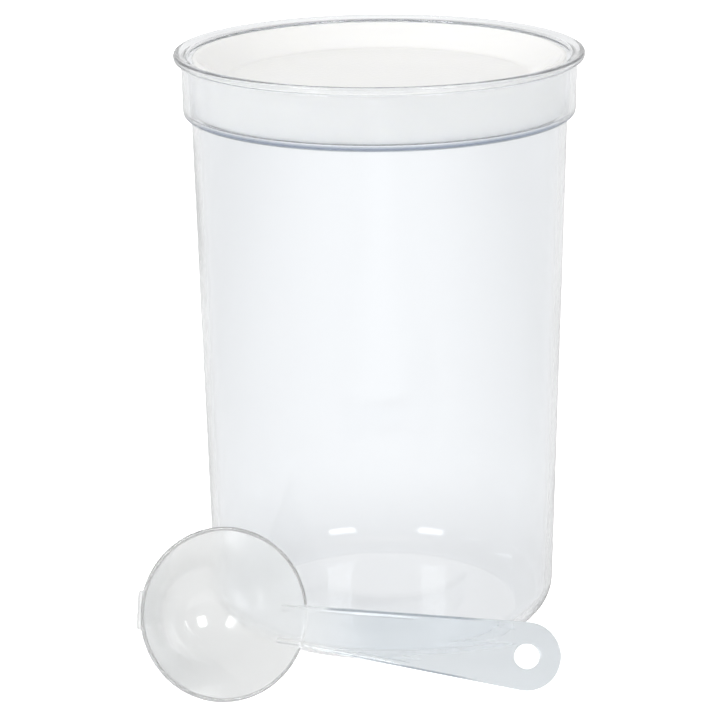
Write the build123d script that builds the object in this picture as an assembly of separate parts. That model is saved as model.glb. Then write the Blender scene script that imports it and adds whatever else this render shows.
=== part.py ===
from build123d import *
import os
from math import sqrt

# Dry-food canister with a recessed press-in lid and a loose measuring scoop.
# Millimetres. +Z up, origin at the centre of the canister's base, scoop on the -Y side.

# Canister body: one clear moulding, drafted wall, wider collar at the mouth, flared lip.
HEIGHT = 177.0
BASE_RADIUS = 52.8
NECK_RADIUS = 56.1
BODY_WALL = 2.2
BASE_THICKNESS = 2.4
COLLAR_UNDERSIDE = 158.4
COLLAR_LOW_RADIUS = 58.5
COLLAR_TOP_RADIUS = 58.8
COLLAR_WALL = 1.9
LEDGE_THICKNESS = 1.6
LIP_RADIUS = 61.0
LIP_THICKNESS = 1.9
LIP_CREST = 1.6
LIP_RISE = 1.0

# Rounds on the canister's corners.
BASE_ROUND = 11.3
NECK_ROUND = 0.5
STEP_ROUND = 1.0
LIP_ROUND = 0.8
CREST_ROUND = 0.6
MOUTH_ROUND = 1.2
LEDGE_ROUND = 0.5
LEDGE_EDGE_ROUND = 0.3

# Lid: white dish that drops into the collar and rests on the ledge.
LID_TOP = 175.4
LID_TOP_RADIUS = 55.6
LID_FOOT_RADIUS = 55.2
LID_WALL = 1.5
LID_LAND = 1.3
LID_LAND_DEPTH = 2.1
DISH_RADIUS = 45.0
DISH_DEPTH = 6.4
DISH_UNDERSIDE_RADIUS = 45.7

# Rounds on the lid's corners.
DISH_ROUND = 3.0
LAND_ROUND = 0.5
LID_EDGE_ROUND = 0.6
LID_FOOT_ROUND = 0.4
LID_GROOVE_ROUND = 0.3
DISH_UNDERSIDE_ROUND = 4.0

# Scoop: rounded conical bowl, a small flat lip nearly opposite the ribbed handle, and a hang hole.
BOWL_RADIUS = 25.8
BOWL_WALL = 1.5
BOWL_DEPTH = 27.8
BOWL_FLOOR_RADIUS = 10.2
BOWL_INSIDE_FLOOR_RADIUS = 9.3
BOWL_ROUND = 17.1
RIM_ROUND = 0.6
POUR_LIP_REACH = 0.2
POUR_LIP_WIDTH = 11.4
POUR_LIP_ROUND = 0.8
POUR_LIP_TURN = 5.5
HANDLE_RUN = 64.2
HANDLE_ROOT_WIDTH = 12.4
HANDLE_TIP_RADIUS = 10.0
HANDLE_PLATE = 1.7
HANDLE_RISE = 22.0
ROOT_RUN = 10.0
RIB_THICKNESS = 1.8
RIB_DEPTH = 6.5
RIB_RUN = 54.0
RIB_WAIST_RUN = 19.0
RIB_WAIST_DEPTH = 3.5
RIB_END_DEPTH = 0.2
HANG_HOLE_RADIUS = 3.6

# Where the scoop lies: on its side in front of the canister, on its rim and handle tip.
SCOOP_X = -45.8
SCOOP_Y = -66.5
SCOOP_Z = 24.03
SCOOP_HEADING = -5.0
SCOOP_DIP = 6.6
SCOOP_LEAN = 64.5


def revolved(corners):
    """Turn a closed outline of (radius, height, round) corners about Z."""
    points = [(radius, 0, height) for radius, height, _ in corners]
    rounds = [corner[2] for corner in corners]
    return revolve(make_face(FilletPolyline(*points, radius=rounds, close=True)), Axis.Z)


def canister_body():
    flare = HEIGHT - LIP_RISE - LIP_THICKNESS
    ledge = COLLAR_UNDERSIDE + LEDGE_THICKNESS
    return revolved([
        (0, 0, 0),
        (BASE_RADIUS, 0, BASE_ROUND),
        (NECK_RADIUS, COLLAR_UNDERSIDE, NECK_ROUND),
        (COLLAR_LOW_RADIUS, COLLAR_UNDERSIDE, STEP_ROUND),
        (COLLAR_TOP_RADIUS, flare, LIP_ROUND),
        (LIP_RADIUS, HEIGHT - LIP_THICKNESS, LIP_ROUND),
        (LIP_RADIUS, HEIGHT, LIP_ROUND),
        (LIP_RADIUS - LIP_CREST, HEIGHT, CREST_ROUND),
        (COLLAR_TOP_RADIUS - COLLAR_WALL, HEIGHT - LIP_RISE, MOUTH_ROUND),
        (COLLAR_LOW_RADIUS - COLLAR_WALL, ledge, LEDGE_ROUND),
        (NECK_RADIUS - BODY_WALL, ledge, LEDGE_EDGE_ROUND),
        (BASE_RADIUS - BODY_WALL, BASE_THICKNESS, BASE_ROUND - BODY_WALL),
        (0, BASE_THICKNESS, 0),
    ])


def lid():
    ledge = COLLAR_UNDERSIDE + LEDGE_THICKNESS
    dish_floor = LID_TOP - DISH_DEPTH
    underside = dish_floor - LID_WALL
    return revolved([
        (0, dish_floor, 0),
        (DISH_RADIUS, dish_floor, DISH_ROUND),
        (LID_TOP_RADIUS - LID_LAND, LID_TOP, LAND_ROUND),
        (LID_TOP_RADIUS, LID_TOP, LID_EDGE_ROUND),
        (LID_FOOT_RADIUS, ledge, LID_FOOT_ROUND),
        (LID_FOOT_RADIUS - LID_WALL, ledge, LID_FOOT_ROUND),
        (LID_TOP_RADIUS - LID_WALL, LID_TOP - LID_LAND_DEPTH, LID_GROOVE_ROUND),
        (DISH_UNDERSIDE_RADIUS, underside, DISH_UNDERSIDE_ROUND),
        (0, underside, 0),
    ])


def bowl():
    inside_radius = BOWL_RADIUS - BOWL_WALL
    inside_floor = BOWL_WALL - BOWL_DEPTH
    return revolved([
        (0, -BOWL_DEPTH, 0),
        (BOWL_FLOOR_RADIUS, -BOWL_DEPTH, BOWL_ROUND),
        (BOWL_RADIUS, 0, RIM_ROUND),
        (inside_radius, 0, RIM_ROUND),
        (BOWL_INSIDE_FLOOR_RADIUS, inside_floor, BOWL_ROUND - BOWL_WALL),
        (0, inside_floor, 0),
    ])


def bowl_core():
    """The space inside the bowl, as a solid."""
    inside_floor = BOWL_WALL - BOWL_DEPTH
    return revolved([
        (0, inside_floor, 0),
        (BOWL_INSIDE_FLOOR_RADIUS, inside_floor, BOWL_ROUND - BOWL_WALL),
        (BOWL_RADIUS - BOWL_WALL, 0, 0),
        (0, 0, 0),
    ])


def pour_lip():
    length = POUR_LIP_REACH + BOWL_WALL
    middle = BOWL_RADIUS - BOWL_WALL + length / 2
    slab = Box(length, POUR_LIP_WIDTH, BOWL_WALL)
    tongue = fillet(slab.edges().filter_by(Axis.Z).group_by(Axis.X)[0], POUR_LIP_ROUND)
    return Rot(0, 0, POUR_LIP_TURN) * Pos(-middle, 0, -BOWL_WALL / 2) * tongue


def handle_outline(inset, start):
    """Tapered handle outline along X: narrow at the root, round at the tip."""
    root = HANDLE_ROOT_WIDTH / 2 - inset
    tip = HANDLE_TIP_RADIUS - inset
    lean = (tip - root) / HANDLE_RUN
    tangent_x = HANDLE_RUN - tip * lean
    tangent_y = tip * sqrt(1 - lean * lean)
    start_y = tangent_y - (tangent_x - start) * lean
    side = Line((start, start_y), (tangent_x, tangent_y))
    nose = ThreePointArc((tangent_x, tangent_y), (HANDLE_RUN + tip, 0), (tangent_x, -tangent_y))
    back = Polyline((tangent_x, -tangent_y), (start, -start_y), (start, start_y))
    return make_face([side, nose, back])


def rib_envelope():
    """Side view of the ribs: full depth at the bowl, running out before the tip."""
    top = Line((RIB_RUN, 0), (-ROOT_RUN, 0))
    root = Line((-ROOT_RUN, 0), (-ROOT_RUN, -RIB_DEPTH))
    foot = Line((-ROOT_RUN, -RIB_DEPTH), (0, -RIB_DEPTH))
    sweep = Spline((0, -RIB_DEPTH), (RIB_WAIST_RUN, -RIB_WAIST_DEPTH), (RIB_RUN, -RIB_END_DEPTH))
    end = Line((RIB_RUN, -RIB_END_DEPTH), (RIB_RUN, 0))
    side = Plane.XZ * make_face([top, root, foot, sweep, end])
    return extrude(side, 2 * HANDLE_TIP_RADIUS, both=True)


def handle():
    outline = handle_outline(0, -ROOT_RUN)
    plate = extrude(outline, -HANDLE_PLATE)
    ribs = extrude(outline - handle_outline(RIB_THICKNESS, -2 * ROOT_RUN), -RIB_DEPTH)
    hole = Pos(HANDLE_RUN, 0, 0) * Cylinder(HANG_HOLE_RADIUS, 4 * HANDLE_PLATE)
    return plate + (ribs & rib_envelope()) - hole


def scoop_upright():
    """Bowl opening up, rim in the XY plane, handle along +X rising from the rim."""
    grip = Pos(BOWL_RADIUS, 0, 0) * Rot(0, -HANDLE_RISE, 0) * handle()
    core = bowl_core()
    return bowl() + (pour_lip() - core) + (grip - core)


def scoop():
    stance = Pos(SCOOP_X, SCOOP_Y, SCOOP_Z)
    turn = Rot(0, 0, SCOOP_HEADING) * Rot(0, SCOOP_DIP, 0) * Rot(SCOOP_LEAN, 0, 0)
    return stance * turn * Rot(0, HANDLE_RISE, 0) * scoop_upright()


def main():
    parts = {"canister_body": canister_body(), "lid": lid(), "scoop": scoop()}
    os.makedirs("parts", exist_ok=True)
    for name, shape in parts.items():
        shape.label = name
        export_step(shape, f"parts/{name}.step")
        box = shape.bounding_box()
        print(name, len(shape.solids()), round(shape.volume, 1), box.min, box.max)


main()
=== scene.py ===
from math import acos, atan2, ceil, cos, pi, radians, sin, sqrt, tan

import bmesh
import bpy
from mathutils import Matrix, Vector


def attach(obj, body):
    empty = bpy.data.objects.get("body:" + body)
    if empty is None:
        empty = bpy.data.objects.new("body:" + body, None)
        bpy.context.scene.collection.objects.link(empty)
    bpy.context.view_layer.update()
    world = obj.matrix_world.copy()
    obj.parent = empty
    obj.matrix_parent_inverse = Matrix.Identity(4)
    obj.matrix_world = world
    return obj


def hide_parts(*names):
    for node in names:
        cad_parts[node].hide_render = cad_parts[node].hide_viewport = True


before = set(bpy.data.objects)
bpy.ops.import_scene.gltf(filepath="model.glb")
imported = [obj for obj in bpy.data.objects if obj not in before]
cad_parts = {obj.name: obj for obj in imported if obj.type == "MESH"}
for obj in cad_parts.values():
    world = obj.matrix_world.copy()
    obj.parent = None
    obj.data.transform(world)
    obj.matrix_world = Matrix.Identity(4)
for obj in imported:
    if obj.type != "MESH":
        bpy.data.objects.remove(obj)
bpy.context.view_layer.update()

# Lengths of the mouldings are in millimetres, as in the CAD model, and the meshes are made in metres.
MM = 0.001

# Canister body.
HEIGHT = 177.0
BASE_RADIUS = 52.8
NECK_RADIUS = 56.1
BODY_WALL = 2.2
BASE_THICKNESS = 2.4
COLLAR_UNDERSIDE = 158.4
COLLAR_LOW_RADIUS = 58.5
COLLAR_TOP_RADIUS = 58.8
COLLAR_WALL = 1.9
LEDGE = 160.0
LIP_RADIUS = 61.0
LIP_THICKNESS = 1.9
LIP_CREST = 1.6
LIP_RISE = 1.0
BASE_ROUND = 11.3

# Lid.
LID_TOP = 175.4
LID_TOP_RADIUS = 55.6
LID_FOOT_RADIUS = 55.2
LID_WALL = 1.5
LID_LAND = 1.3
LID_LAND_DEPTH = 2.1
DISH_RADIUS = 45.0
DISH_DEPTH = 6.4
DISH_UNDERSIDE_RADIUS = 45.7

# Scoop.
BOWL_RADIUS = 25.8
BOWL_WALL = 1.5
BOWL_DEPTH = 27.8
BOWL_FLOOR_RADIUS = 10.2
BOWL_INSIDE_FLOOR_RADIUS = 9.3
BOWL_ROUND = 17.1
RIM_ROUND = 0.6
POUR_LIP_REACH = 0.2
POUR_LIP_WIDTH = 11.4
POUR_LIP_ROUND = 0.8
POUR_LIP_TURN = 5.5
POUR_LIP_DROP = 0.05
CORE_RISE = 5.0
HANDLE_RUN = 64.2
HANDLE_ROOT_WIDTH = 12.4
HANDLE_TIP_RADIUS = 10.0
HANDLE_PLATE = 1.7
HANDLE_RISE = 22.0
ROOT_RUN = 10.0
RIB_THICKNESS = 1.8
RIB_DEPTH = 6.5
RIB_RUN = 54.0
RIB_SWEEP = 1.5
RIB_LEAST = 0.9
HANG_HOLE_RADIUS = 3.6
MOULDED_EDGE = 0.35
HANDLE_SPREAD = (HANDLE_TIP_RADIUS - HANDLE_ROOT_WIDTH / 2) / HANDLE_RUN

# How far into the bowl's wall the pour lip ends, as a share of the wall. The Boolean that joins them
# drops the bowl and the handle at 0.6 and below, and keeps the whole scoop from 0.65 to 0.85.
POUR_LIP_ROOT = 0.7

# How finely the round shapes are divided.
CANISTER_SEGMENTS = 256
SCOOP_SEGMENTS = 192
TIP_STEPS = 40
HOLE_STEPS = 48
RIB_STATIONS = 60
EDGE_STEPS = 3

# Edges turning by more than this many degrees are shaded sharp.
SHARP_ANGLE = 32

# Where the scoop's rim centre lies, and how the scoop is turned there, in degrees.
SCOOP_PLACE = (-45.8, -66.5, 24.03)
SCOOP_HEADING = -5.0
SCOOP_DIP = 6.6
SCOOP_LEAN = 64.5

# The view: its place in metres, and how far it looks down, pans to the right and rolls, in degrees.
CAMERA_PLACE = (0.0, -0.800, 0.3228)
CAMERA_DOWN = 16.85
CAMERA_PAN = -0.47
CAMERA_ROLL = -0.59
CAMERA_LENS = 136.25

# The painted shade line at the step under the collar: its middle height, its full part and its reach, in
# mm.
PAINTED_STEP_SHADE_HEIGHT = 158.8
PAINTED_STEP_SHADE_CORE = 0.4
PAINTED_STEP_SHADE_REACH = 1.1

# Where the scoop's clear bowl passes into its handle, which is painted darker as shade, across the scene
# in mm.
BOWL_SIDE = -30.0
HANDLE_SIDE = 0.0

# Width of the painted shade line along each rib's foot and of its soft side, in mm.
RIB_SHADE_WIDTH = 0.55
RIB_SHADE_SOFT = 0.3

# How far past the bowl the rib's painted shade line starts and is in full, in mm.
RIB_SHADE_START = 3.0
RIB_SHADE_FULL = 6.0
RIB_SHADE_END_SHARE = 0.8

# Colours of the plastics.
BODY_CLEAR = (0.965, 0.978, 0.992)
# Painted shade: the dark line at the step under the collar.
PAINTED_STEP_SHADE_TINT = (0.32, 0.37, 0.46)
BOWL_CLEAR = (0.99, 1.0, 1.0)
# The handle's colour is clear plastic darkened with painted shade.
HANDLE_CLEAR_AND_SHADE = (0.81, 0.85, 0.88)
# Painted shade for the dark lines along the ribs' feet.
RIB_PAINTED_SHADE = (0.14, 0.18, 0.23)
LID_WHITE = (0.955, 0.950, 0.925)

# Optical values of the plastics.
STYRENE_IOR = 1.57
LID_IOR = 1.5
BODY_CLEARNESS = 0.97
SCOOP_CLEARNESS = 0.88

# The two soft boxes: degrees to the right of the front, degrees up, and sizes in metres.
LEFT_BOX_SIDE = -39
RIGHT_BOX_SIDE = 33
BOX_UP = 33
BOX_DISTANCE = 1.1
BOX_WIDTH = 0.33
BOX_HEIGHT = 0.38
BOX_POWER = 2.4

# The floor's half size in metres, and its brightness: as the plastic shows it, brightest in a painted
# pool of light in front and dimmer under the pieces with painted shadow, and as the view and the light
# see it.
FLOOR_REACH = 6.0
PAINTED_POOL_MIDDLE = 0.006
PAINTED_POOL_BRIGHT = 0.94
PAINTED_POOL_DIM = 0.79
PAINTED_POOL_NEAR = 0.015
PAINTED_POOL_FAR = 0.12
PAINTED_SHADOW_DIM = 0.84
PAINTED_SHADOW_NEAR = 0.05
PAINTED_SHADOW_FAR = 0.14
FLOOR_LIGHT = 1.9


# ---------- mesh helpers ----------

def corner_arc(before, corner, after, radius):
    """Points of the arc that rounds one corner of an outline."""
    corner = Vector(corner)
    to_before = (Vector(before) - corner).normalized()
    to_after = (Vector(after) - corner).normalized()
    half = acos(max(-1.0, min(1.0, to_before.dot(to_after)))) / 2
    centre = corner + (to_before + to_after).normalized() * (radius / sin(half))
    start = corner + to_before * (radius / tan(half)) - centre
    end = corner + to_after * (radius / tan(half)) - centre
    turn = start.angle_signed(end)
    steps = max(3, ceil(abs(turn) / radians(7)))
    return [centre + Matrix.Rotation(-turn * i / steps, 2) @ start for i in range(steps + 1)]


def rounded(corners):
    """An outline from (across, up, round) corners."""
    outline = []
    for i, (across, up, radius) in enumerate(corners):
        before = corners[i - 1][:2]
        after = corners[(i + 1) % len(corners)][:2]
        if radius == 0:
            outline.append(Vector((across, up)))
        else:
            outline += corner_arc(before, (across, up), after, radius)
    return outline


def spread(outline, longest):
    """The outline with its long runs divided, so that the mesh has even quads."""
    result = []
    for a, b in zip(outline, outline[1:]):
        count = max(1, ceil((b - a).length / longest))
        result += [a.lerp(b, k / count) for k in range(count)]
    return result + [outline[-1]]


def lathe(name, outline, segments):
    """Turn an outline that starts and ends on the axis into a closed mesh about Z."""
    bm = bmesh.new()
    rings = []
    for radius, height in outline:
        if radius < 1e-6:
            rings.append([bm.verts.new((0, 0, height * MM))])
            continue
        ring = []
        for k in range(segments):
            turn = 2 * pi * k / segments
            ring.append(bm.verts.new((radius * cos(turn) * MM, radius * sin(turn) * MM, height * MM)))
        rings.append(ring)
    for low, high in zip(rings, rings[1:]):
        for k in range(segments):
            n = (k + 1) % segments
            corners = [low[k % len(low)], low[n % len(low)], high[n % len(high)], high[k % len(high)]]
            bm.faces.new(list(dict.fromkeys(corners)))
    return finished(name, bm)


def skin(name, rings):
    """Close a row of equal rings of points into a solid with flat ends."""
    bm = bmesh.new()
    loops = [[bm.verts.new(Vector(p) * MM) for p in ring] for ring in rings]
    for a, b in zip(loops, loops[1:]):
        for i in range(len(a)):
            n = (i + 1) % len(a)
            bm.faces.new((a[i], a[n], b[n], b[i]))
    bm.faces.new(loops[0])
    bm.faces.new(loops[-1])
    return finished(name, bm)


def finished(name, bm):
    """Merge doubled points, face every side outwards, and put the mesh in the scene."""
    bmesh.ops.remove_doubles(bm, verts=bm.verts, dist=1e-7)
    bmesh.ops.recalc_face_normals(bm, faces=bm.faces)
    mesh = bpy.data.meshes.new(name)
    bm.to_mesh(mesh)
    bm.free()
    piece = bpy.data.objects.new(name, mesh)
    bpy.context.scene.collection.objects.link(piece)
    return piece


def shade_smooth(piece):
    piece.data.shade_smooth()
    piece.data.set_sharp_from_angle(angle=radians(SHARP_ANGLE))


def combine(target, other, operation):
    """Join or cut two closed meshes, and keep the result as target's mesh."""
    cut = target.modifiers.new("combine", "BOOLEAN")
    cut.operation = operation
    cut.solver = "EXACT"
    cut.object = other
    graph = bpy.context.evaluated_depsgraph_get()
    mesh = bpy.data.meshes.new_from_object(target.evaluated_get(graph))
    target.modifiers.clear()
    target.data = mesh
    bpy.data.objects.remove(other)


# ---------- canister and lid ----------

def canister_piece():
    """Base, body, neck with its outside step and inside ledge, collar and flared lip, as one shell."""
    outline = rounded([
        (0, 0, 0),
        (BASE_RADIUS, 0, BASE_ROUND),
        (NECK_RADIUS, COLLAR_UNDERSIDE, 0.5),
        (COLLAR_LOW_RADIUS, COLLAR_UNDERSIDE, 1.0),
        (COLLAR_TOP_RADIUS, HEIGHT - LIP_RISE - LIP_THICKNESS, 0.8),
        (LIP_RADIUS, HEIGHT - LIP_THICKNESS, 0.8),
        (LIP_RADIUS, HEIGHT, 0.8),
        (LIP_RADIUS - LIP_CREST, HEIGHT, 0.6),
        (COLLAR_TOP_RADIUS - COLLAR_WALL, HEIGHT - LIP_RISE, 1.2),
        (COLLAR_LOW_RADIUS - COLLAR_WALL, LEDGE, 0.5),
        (NECK_RADIUS - BODY_WALL, LEDGE, 0.3),
        (BASE_RADIUS - BODY_WALL, BASE_THICKNESS, BASE_ROUND - BODY_WALL),
        (0, BASE_THICKNESS, 0),
    ])
    piece = lathe("canister_moulding", spread(outline, 8.0), CANISTER_SEGMENTS)
    shade_smooth(piece)
    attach(piece, "canister")
    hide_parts("canister_body")
    return piece


def lid_piece():
    """Skirt that stands on the ledge, narrow land, and a sloping wall down to the sunk floor."""
    dish_floor = LID_TOP - DISH_DEPTH
    outline = rounded([
        (0, dish_floor, 0),
        (DISH_RADIUS, dish_floor, 3.0),
        (LID_TOP_RADIUS - LID_LAND, LID_TOP, 0.5),
        (LID_TOP_RADIUS, LID_TOP, 0.6),
        (LID_FOOT_RADIUS, LEDGE, 0.4),
        (LID_FOOT_RADIUS - LID_WALL, LEDGE, 0.4),
        (LID_TOP_RADIUS - LID_WALL, LID_TOP - LID_LAND_DEPTH, 0.3),
        (DISH_UNDERSIDE_RADIUS, dish_floor - LID_WALL, 4.0),
        (0, dish_floor - LID_WALL, 0),
    ])
    piece = lathe("lid_moulding", spread(outline, 4.0), CANISTER_SEGMENTS)
    shade_smooth(piece)
    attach(piece, "lid")
    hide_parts("lid")
    return piece


# ---------- scoop ----------

def bowl_inside():
    """Outline of the bowl's inside, from its rim down to its middle."""
    inside_floor = BOWL_WALL - BOWL_DEPTH
    return [(BOWL_INSIDE_FLOOR_RADIUS, inside_floor, BOWL_ROUND - BOWL_WALL), (0, inside_floor, 0)]


def bowl_mesh():
    """Rounded conical shell with a rounded rim, opening up."""
    outline = rounded([
        (0, -BOWL_DEPTH, 0),
        (BOWL_FLOOR_RADIUS, -BOWL_DEPTH, BOWL_ROUND),
        (BOWL_RADIUS, 0, RIM_ROUND),
        (BOWL_RADIUS - BOWL_WALL, 0, RIM_ROUND),
    ] + bowl_inside())
    return lathe("scoop_bowl", spread(outline, 2.0), SCOOP_SEGMENTS)


def bowl_core():
    """The space inside the bowl down to the middle of its wall, and some above the rim, as a solid."""
    half = BOWL_WALL / 2
    middle = BOWL_RADIUS - half
    floor = BOWL_WALL - BOWL_DEPTH - half
    outline = rounded([
        (0, CORE_RISE, 0),
        (middle, CORE_RISE, 0),
        (middle, 0, 0),
        (BOWL_INSIDE_FLOOR_RADIUS + half, floor, BOWL_ROUND - half),
        (0, floor, 0),
    ])
    return lathe("scoop_core", spread(outline, 2.0), SCOOP_SEGMENTS)


def handle_edge(x):
    """Half the handle's width at x, along its straight sides."""
    return HANDLE_ROOT_WIDTH / 2 + HANDLE_SPREAD * x


def plate_outline():
    """Handle outline: two straight sides that widen to a round tip."""
    away = atan2(sqrt(1 - HANDLE_SPREAD * HANDLE_SPREAD), -HANDLE_SPREAD)
    turns = [away * (1 - 2 * k / TIP_STEPS) for k in range(TIP_STEPS + 1)]
    nose = [(HANDLE_RUN + HANDLE_TIP_RADIUS * cos(a), HANDLE_TIP_RADIUS * sin(a)) for a in turns]
    start = nose[0][1] - (nose[0][0] + ROOT_RUN) * HANDLE_SPREAD
    return [(-ROOT_RUN, start)] + nose + [(-ROOT_RUN, -start)]


def plate_mesh():
    """Handle plate with its hang hole: a filled curve with a small round on every edge."""
    curve = bpy.data.curves.new("scoop_plate", "CURVE")
    curve.dimensions = "2D"
    curve.fill_mode = "BOTH"
    curve.extrude = (HANDLE_PLATE / 2 - MOULDED_EDGE) * MM
    curve.bevel_depth = MOULDED_EDGE * MM
    curve.bevel_resolution = EDGE_STEPS
    curve.offset = -MOULDED_EDGE * MM
    turns = [2 * pi * k / HOLE_STEPS for k in range(HOLE_STEPS)]
    hole = [(HANDLE_RUN + HANG_HOLE_RADIUS * cos(a), HANG_HOLE_RADIUS * sin(a)) for a in turns]
    for loop in (plate_outline(), hole):
        spline = curve.splines.new("POLY")
        spline.points.add(len(loop) - 1)
        for point, (x, y) in zip(spline.points, loop):
            point.co = (x * MM, y * MM, 0, 1)
        spline.use_cyclic_u = True
    holder = bpy.data.objects.new("scoop_plate_curve", curve)
    bpy.context.scene.collection.objects.link(holder)
    bpy.context.view_layer.update()
    mesh = bpy.data.meshes.new_from_object(holder)
    bpy.data.objects.remove(holder)
    mesh.transform(Matrix.Translation((0, 0, -HANDLE_PLATE / 2 * MM)))
    bm = bmesh.new()
    bm.from_mesh(mesh)
    return finished("scoop_plate", bm)


def rib_depth(x):
    """How far a rib hangs below the handle's top face: deepest at the bowl, then running out."""
    share = min(1.0, 1 - x / RIB_RUN)
    return max(RIB_LEAST, RIB_DEPTH * share ** RIB_SWEEP)


def rib_mesh(side):
    """One edge rib: a bar with rounded lower edges that follows the handle's edge."""
    edge = MOULDED_EDGE
    quarter = [pi / 2 * k / EDGE_STEPS for k in range(EDGE_STEPS + 1)]
    rings = []
    for k in range(RIB_STATIONS + 1):
        x = -ROOT_RUN + (RIB_RUN + ROOT_RUN) * k / RIB_STATIONS
        outer = handle_edge(x)
        inner = outer - RIB_THICKNESS
        low = edge - rib_depth(x)
        section = [(outer, -edge)]
        section += [(outer - edge + edge * cos(a), low - edge * sin(a)) for a in quarter]
        section += [(inner + edge - edge * sin(a), low - edge * cos(a)) for a in quarter]
        section += [(inner, -edge)]
        rings.append([(x, side * y, z) for y, z in section])
    return skin("scoop_rib", rings)


def pour_lip_mesh():
    """Small flat lip in the rim's plane, nearly opposite the handle, with rounded corners and edges."""
    far = -(BOWL_RADIUS + POUR_LIP_REACH)
    near = -(BOWL_RADIUS - POUR_LIP_ROOT * BOWL_WALL)
    half = POUR_LIP_WIDTH / 2
    edge = MOULDED_EDGE
    rings = []
    top = -POUR_LIP_DROP
    for inset, z in ((edge, top), (0, top - edge), (0, edge - BOWL_WALL), (edge, -BOWL_WALL)):
        outline = rounded([
            (near, half - inset, 0),
            (far + inset, half - inset, POUR_LIP_ROUND),
            (far + inset, inset - half, POUR_LIP_ROUND),
            (near, inset - half, 0),
        ])
        rings.append([(p.x, p.y, z) for p in outline])
    tongue = skin("scoop_lip", rings)
    tongue.data.transform(turned(0, 0, POUR_LIP_TURN))
    return tongue


def turned(x, y, z):
    """Rotation by degrees about X, then Y, then Z."""
    about_x = Matrix.Rotation(radians(x), 4, "X")
    about_y = Matrix.Rotation(radians(y), 4, "Y")
    return Matrix.Rotation(radians(z), 4, "Z") @ about_y @ about_x


def handle_rest():
    """The handle's frame in the bowl's: its root at the rim, rising."""
    return Matrix.Translation((BOWL_RADIUS * MM, 0, 0)) @ turned(0, -HANDLE_RISE, 0)


def scoop_rest():
    """The bowl's frame in the scene, as the scoop lies."""
    lie = turned(SCOOP_LEAN, SCOOP_DIP, SCOOP_HEADING) @ turned(0, HANDLE_RISE, 0)
    return Matrix.Translation(Vector(SCOOP_PLACE) * MM) @ lie


def scoop_piece():
    """Handle plate and ribs cut off inside the bowl's wall, then joined to the bowl and its pour lip."""
    grip = plate_mesh()
    for side in (1, -1):
        combine(grip, rib_mesh(side), "UNION")
    grip.data.transform(handle_rest())
    combine(grip, bowl_core(), "DIFFERENCE")
    bowl = bowl_mesh()
    combine(bowl, grip, "UNION")
    combine(bowl, pour_lip_mesh(), "UNION")
    bowl.data.transform(scoop_rest())
    bowl.name = "scoop_moulding"
    shade_smooth(bowl)
    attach(bowl, "scoop")
    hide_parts("scoop")
    return bowl


# ---------- materials ----------

def new_material(name):
    material = bpy.data.materials.new(name)
    material.use_nodes = True
    return material, material.node_tree, material.node_tree.nodes["Principled BSDF"]


def noise(tree, scale, detail):
    """Noise in object space, so that its grain has a real size."""
    node = tree.nodes.new("ShaderNodeTexNoise")
    node.inputs["Scale"].default_value = scale
    node.inputs["Detail"].default_value = detail
    tree.links.new(object_place(tree), node.inputs["Vector"])
    return node.outputs["Fac"]


def ranged(tree, value, low, high, start=0.0, end=1.0):
    """Map a value between start and end onto low to high, which are numbers or other sockets."""
    node = tree.nodes.new("ShaderNodeMapRange")
    node.interpolation_type = "SMOOTHSTEP"
    node.inputs["From Min"].default_value = start
    node.inputs["From Max"].default_value = end
    for socket, limit in (("To Min", low), ("To Max", high)):
        if isinstance(limit, (int, float)):
            node.inputs[socket].default_value = limit
        else:
            tree.links.new(limit, node.inputs[socket])
    tree.links.new(value, node.inputs["Value"])
    return node.outputs["Result"]


def calculated(tree, operation, *values):
    """A Math node on numbers or sockets."""
    node = tree.nodes.new("ShaderNodeMath")
    node.operation = operation
    for socket, value in zip(node.inputs, values):
        if isinstance(value, (int, float)):
            socket.default_value = value
        else:
            tree.links.new(value, socket)
    return node.outputs["Value"]


def parts_of(tree, vector):
    """The X, Y and Z of a vector."""
    node = tree.nodes.new("ShaderNodeSeparateXYZ")
    tree.links.new(vector, node.inputs[0])
    return node.outputs["X"], node.outputs["Y"], node.outputs["Z"]


def object_place(tree):
    return tree.nodes.new("ShaderNodeTexCoord").outputs["Object"]


def mixed(tree, share, first, second):
    """A colour between two, by a share of 0 to 1. Each is three numbers or a socket."""
    node = tree.nodes.new("ShaderNodeMix")
    node.data_type = "RGBA"
    colour_sockets = [socket for socket in node.inputs if socket.type == "RGBA"]
    for socket, colour in zip(colour_sockets, (first, second)):
        if isinstance(colour, tuple):
            socket.default_value = (*colour, 1)
        else:
            tree.links.new(colour, socket)
    tree.links.new(share, node.inputs["Factor"])
    return next(socket for socket in node.outputs if socket.type == "RGBA")


def bump(tree, value, strength, distance):
    node = tree.nodes.new("ShaderNodeBump")
    node.inputs["Strength"].default_value = strength
    node.inputs["Distance"].default_value = distance
    tree.links.new(value, node.inputs["Height"])
    return node.outputs["Normal"]


def clear_plastic(name, clearness):
    material, tree, shader = new_material(name)
    shader.inputs["Transmission Weight"].default_value = clearness
    shader.inputs["IOR"].default_value = STYRENE_IOR
    tree.links.new(bump(tree, noise(tree, 22, 1), 0.05, 0.002), shader.inputs["Normal"])
    return material, tree, shader


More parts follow.
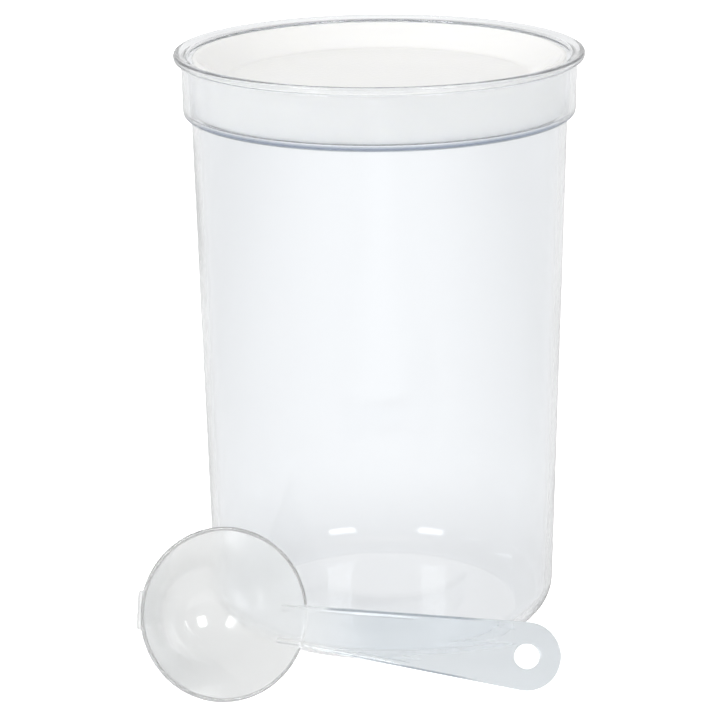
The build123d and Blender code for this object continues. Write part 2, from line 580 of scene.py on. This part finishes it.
def body_plastic():
    """Clear, with a painted shade line at the step under the collar."""
    material, tree, shader = clear_plastic("clear_styrene", BODY_CLEARNESS)
    height = parts_of(tree, object_place(tree))[2]
    from_step = calculated(tree, "ABSOLUTE", calculated(tree, "SUBTRACT", height, PAINTED_STEP_SHADE_HEIGHT * MM))
    share = ranged(tree, from_step, 1.0, 0.0, PAINTED_STEP_SHADE_CORE * MM, PAINTED_STEP_SHADE_REACH * MM)
    # The step under the collar gets a painted shade line in the base colour.
    colour = mixed(tree, share, BODY_CLEAR, PAINTED_STEP_SHADE_TINT)
    tree.links.new(colour, shader.inputs["Base Color"])
    tree.links.new(ranged(tree, noise(tree, 45, 5), 0.02, 0.07), shader.inputs["Roughness"])
    return material


def handle_place(tree):
    """Object space turned into the handle's own frame, in which its ribs run along X."""
    node = tree.nodes.new("ShaderNodeMapping")
    node.vector_type = "TEXTURE"
    frame_of_handle = scoop_rest() @ handle_rest()
    node.inputs["Location"].default_value = frame_of_handle.to_translation()
    node.inputs["Rotation"].default_value = frame_of_handle.to_euler()
    tree.links.new(object_place(tree), node.inputs["Vector"])
    return node.outputs["Vector"]


def rib_shade_share(tree):
    """1 along the outer foot of each rib, where the handle's edge gets painted shade, and 0 elsewhere.
    """
    along, across, up = parts_of(tree, handle_place(tree))
    straight = calculated(tree, "SUBTRACT", calculated(tree, "ABSOLUTE", across),
                          calculated(tree, "MULTIPLY", along, HANDLE_SPREAD))
    edge = HANDLE_ROOT_WIDTH / 2
    at_edge = ranged(tree, straight, 0.0, 1.0, (edge - RIB_SHADE_WIDTH - RIB_SHADE_SOFT) * MM,
                     (edge - RIB_SHADE_WIDTH) * MM)
    below = ranged(tree, up, 1.0, 0.0, -HANDLE_PLATE * MM, -0.7 * HANDLE_PLATE * MM)
    run_out = ranged(tree, along, 1.0, 0.0, RIB_SHADE_END_SHARE * RIB_RUN * MM, RIB_RUN * MM)
    past_bowl = ranged(tree, along, 0.0, 1.0, RIB_SHADE_START * MM, RIB_SHADE_FULL * MM)
    foot = calculated(tree, "MULTIPLY", at_edge, below)
    return calculated(tree, "MULTIPLY", foot, calculated(tree, "MULTIPLY", run_out, past_bowl))


def scoop_plastic():
    """Clear and a little hazy, with painted shade making the handle darker than the bowl and painted
    shade lines along the ribs.
    """
    material, tree, shader = clear_plastic("clear_scoop_styrene", SCOOP_CLEARNESS)
    across = parts_of(tree, object_place(tree))[0]
    share = ranged(tree, across, 0.0, 1.0, BOWL_SIDE * MM, HANDLE_SIDE * MM)
    # The handle is painted darker than the bowl as shade.
    colour = mixed(tree, share, BOWL_CLEAR, HANDLE_CLEAR_AND_SHADE)
    # Painted shade lines along the ribs' feet.
    colour = mixed(tree, rib_shade_share(tree), colour, RIB_PAINTED_SHADE)
    tree.links.new(colour, shader.inputs["Base Color"])
    smooth = ranged(tree, share, 0.15, 0.01)
    rough = ranged(tree, share, 0.23, 0.04)
    shader.inputs["Coat Weight"].default_value = 1.0
    shader.inputs["Coat Roughness"].default_value = 0.04
    tree.links.new(ranged(tree, noise(tree, 45, 5), smooth, rough), shader.inputs["Roughness"])
    return material


def milky_plastic():
    """Milky white, with a little light spreading under its surface and a fine grain."""
    material, tree, shader = new_material("milky_polyethylene")
    shader.inputs["Base Color"].default_value = (*LID_WHITE, 1)
    shader.inputs["Subsurface Weight"].default_value = 0.4
    shader.inputs["Subsurface Scale"].default_value = 0.003
    shader.inputs["Subsurface Radius"].default_value = (1, 1, 0.9)
    shader.inputs["IOR"].default_value = LID_IOR
    tree.links.new(ranged(tree, noise(tree, 60, 4), 0.10, 0.16), shader.inputs["Roughness"])
    tree.links.new(bump(tree, noise(tree, 900, 2), 0.08, 0.0004), shader.inputs["Normal"])
    return material


def paint(piece, material):
    piece.data.materials.clear()
    piece.data.materials.append(material)


# ---------- stage, lights and camera ----------

def lit_or_seen(tree, seen, lighting):
    """One value for what shows through and in the clear plastic, another for the view and the light."""
    path = tree.nodes.new("ShaderNodeLightPath")
    either = calculated(tree, "MAXIMUM", path.outputs["Is Camera Ray"], path.outputs["Diffuse Depth"])
    return ranged(tree, either, seen, lighting)


def side_falloff(tree, across, left, right):
    """1 in front and behind, falling to one value at the far left and another at the far right."""
    far_value = ranged(tree, across, left, right, -0.2, 0.2)
    return ranged(tree, calculated(tree, "ABSOLUTE", across), 1.0, far_value, 0.1, 1.0)


def floor_stage():
    """A pale floor that gives its own light, so that the pieces leave no hard shadow on it. What shows
    through the plastic has a painted pool of light in front and painted shadow under the pieces.
    """
    bm = bmesh.new()
    bmesh.ops.create_grid(bm, x_segments=4, y_segments=4, size=FLOOR_REACH)
    floor = finished("floor", bm)
    material, tree, shader = new_material("pale_floor")
    shader.inputs["Base Color"].default_value = (0.02, 0.02, 0.02, 1)
    shader.inputs["Roughness"].default_value = 0.5
    shader.inputs["Specular IOR Level"].default_value = 0.2
    shader.inputs["Emission Color"].default_value = (1, 1, 1, 1)
    place = object_place(tree)
    across = calculated(tree, "ABSOLUTE", calculated(tree, "ADD", parts_of(tree, place)[0], PAINTED_POOL_MIDDLE))
    # Painted pool of light in front of the pieces.
    pool = ranged(tree, across, PAINTED_POOL_BRIGHT, PAINTED_POOL_DIM, PAINTED_POOL_NEAR, PAINTED_POOL_FAR)
    away = tree.nodes.new("ShaderNodeVectorMath")
    away.operation = "LENGTH"
    tree.links.new(place, away.inputs[0])
    # Painted shadow under the pieces.
    under = ranged(tree, away.outputs["Value"], PAINTED_SHADOW_DIM, 1.0, PAINTED_SHADOW_NEAR, PAINTED_SHADOW_FAR)
    seen = calculated(tree, "MULTIPLY", pool, under)
    tree.links.new(lit_or_seen(tree, seen, FLOOR_LIGHT), shader.inputs["Emission Strength"])
    paint(floor, material)


def studio_world():
    """Bright near the horizon and dimmer overhead and to the sides."""
    world = bpy.data.worlds.new("studio")
    world.use_nodes = True
    tree = world.node_tree
    across, _, up = parts_of(tree, tree.nodes.new("ShaderNodeTexCoord").outputs["Generated"])
    seen = calculated(tree, "MULTIPLY",
                      ranged(tree, up, 0.92, 0.7),
                      side_falloff(tree, across, 0.85, 0.7))
    lighting = calculated(tree, "MULTIPLY",
                          ranged(tree, up, 1.4, 0.52),
                          ranged(tree, across, 1.15, 0.75, -1.0, 1.0))
    tree.links.new(lit_or_seen(tree, seen, lighting), tree.nodes["Background"].inputs["Strength"])
    tree.nodes["Background"].inputs["Color"].default_value = (1, 1, 1, 1)
    bpy.context.scene.world = world


def soft_box(name, side):
    """A soft box at so many degrees to the right of the front, aimed at the canister."""
    light = bpy.data.lights.new(name, "AREA")
    light.shape = "RECTANGLE"
    light.size = BOX_WIDTH
    light.size_y = BOX_HEIGHT
    light.energy = BOX_POWER
    lamp = bpy.data.objects.new(name, light)
    swing = Matrix.Rotation(radians(side), 4, "Z") @ Matrix.Rotation(radians(90 - BOX_UP), 4, "X")
    lamp.matrix_world = swing @ Matrix.Translation((0, 0, BOX_DISTANCE))
    bpy.context.scene.collection.objects.link(lamp)


def camera():
    """The main view."""
    data = bpy.data.cameras.new("camera")
    data.lens = CAMERA_LENS
    data.sensor_width = 36.0
    data.clip_start = 0.05
    view = bpy.data.objects.new("camera", data)
    pan = Matrix.Rotation(radians(-CAMERA_PAN), 4, "Z")
    down = Matrix.Rotation(radians(90 - CAMERA_DOWN), 4, "X")
    roll = Matrix.Rotation(radians(CAMERA_ROLL), 4, "Z")
    view.matrix_world = Matrix.Translation(CAMERA_PLACE) @ pan @ down @ roll
    bpy.context.scene.collection.objects.link(view)
    bpy.context.scene.camera = view


def light_paths():
    """Enough bounces for light to cross every clear wall."""
    cycles = bpy.context.scene.cycles
    cycles.max_bounces = 24
    cycles.transmission_bounces = 24
    cycles.glossy_bounces = 12


paint(canister_piece(), body_plastic())
paint(scoop_piece(), scoop_plastic())
paint(lid_piece(), milky_plastic())
floor_stage()
studio_world()
soft_box("left_box", LEFT_BOX_SIDE)
soft_box("right_box", RIGHT_BOX_SIDE)
camera()
light_paths()
bpy.context.scene.view_settings.view_transform = "Standard"
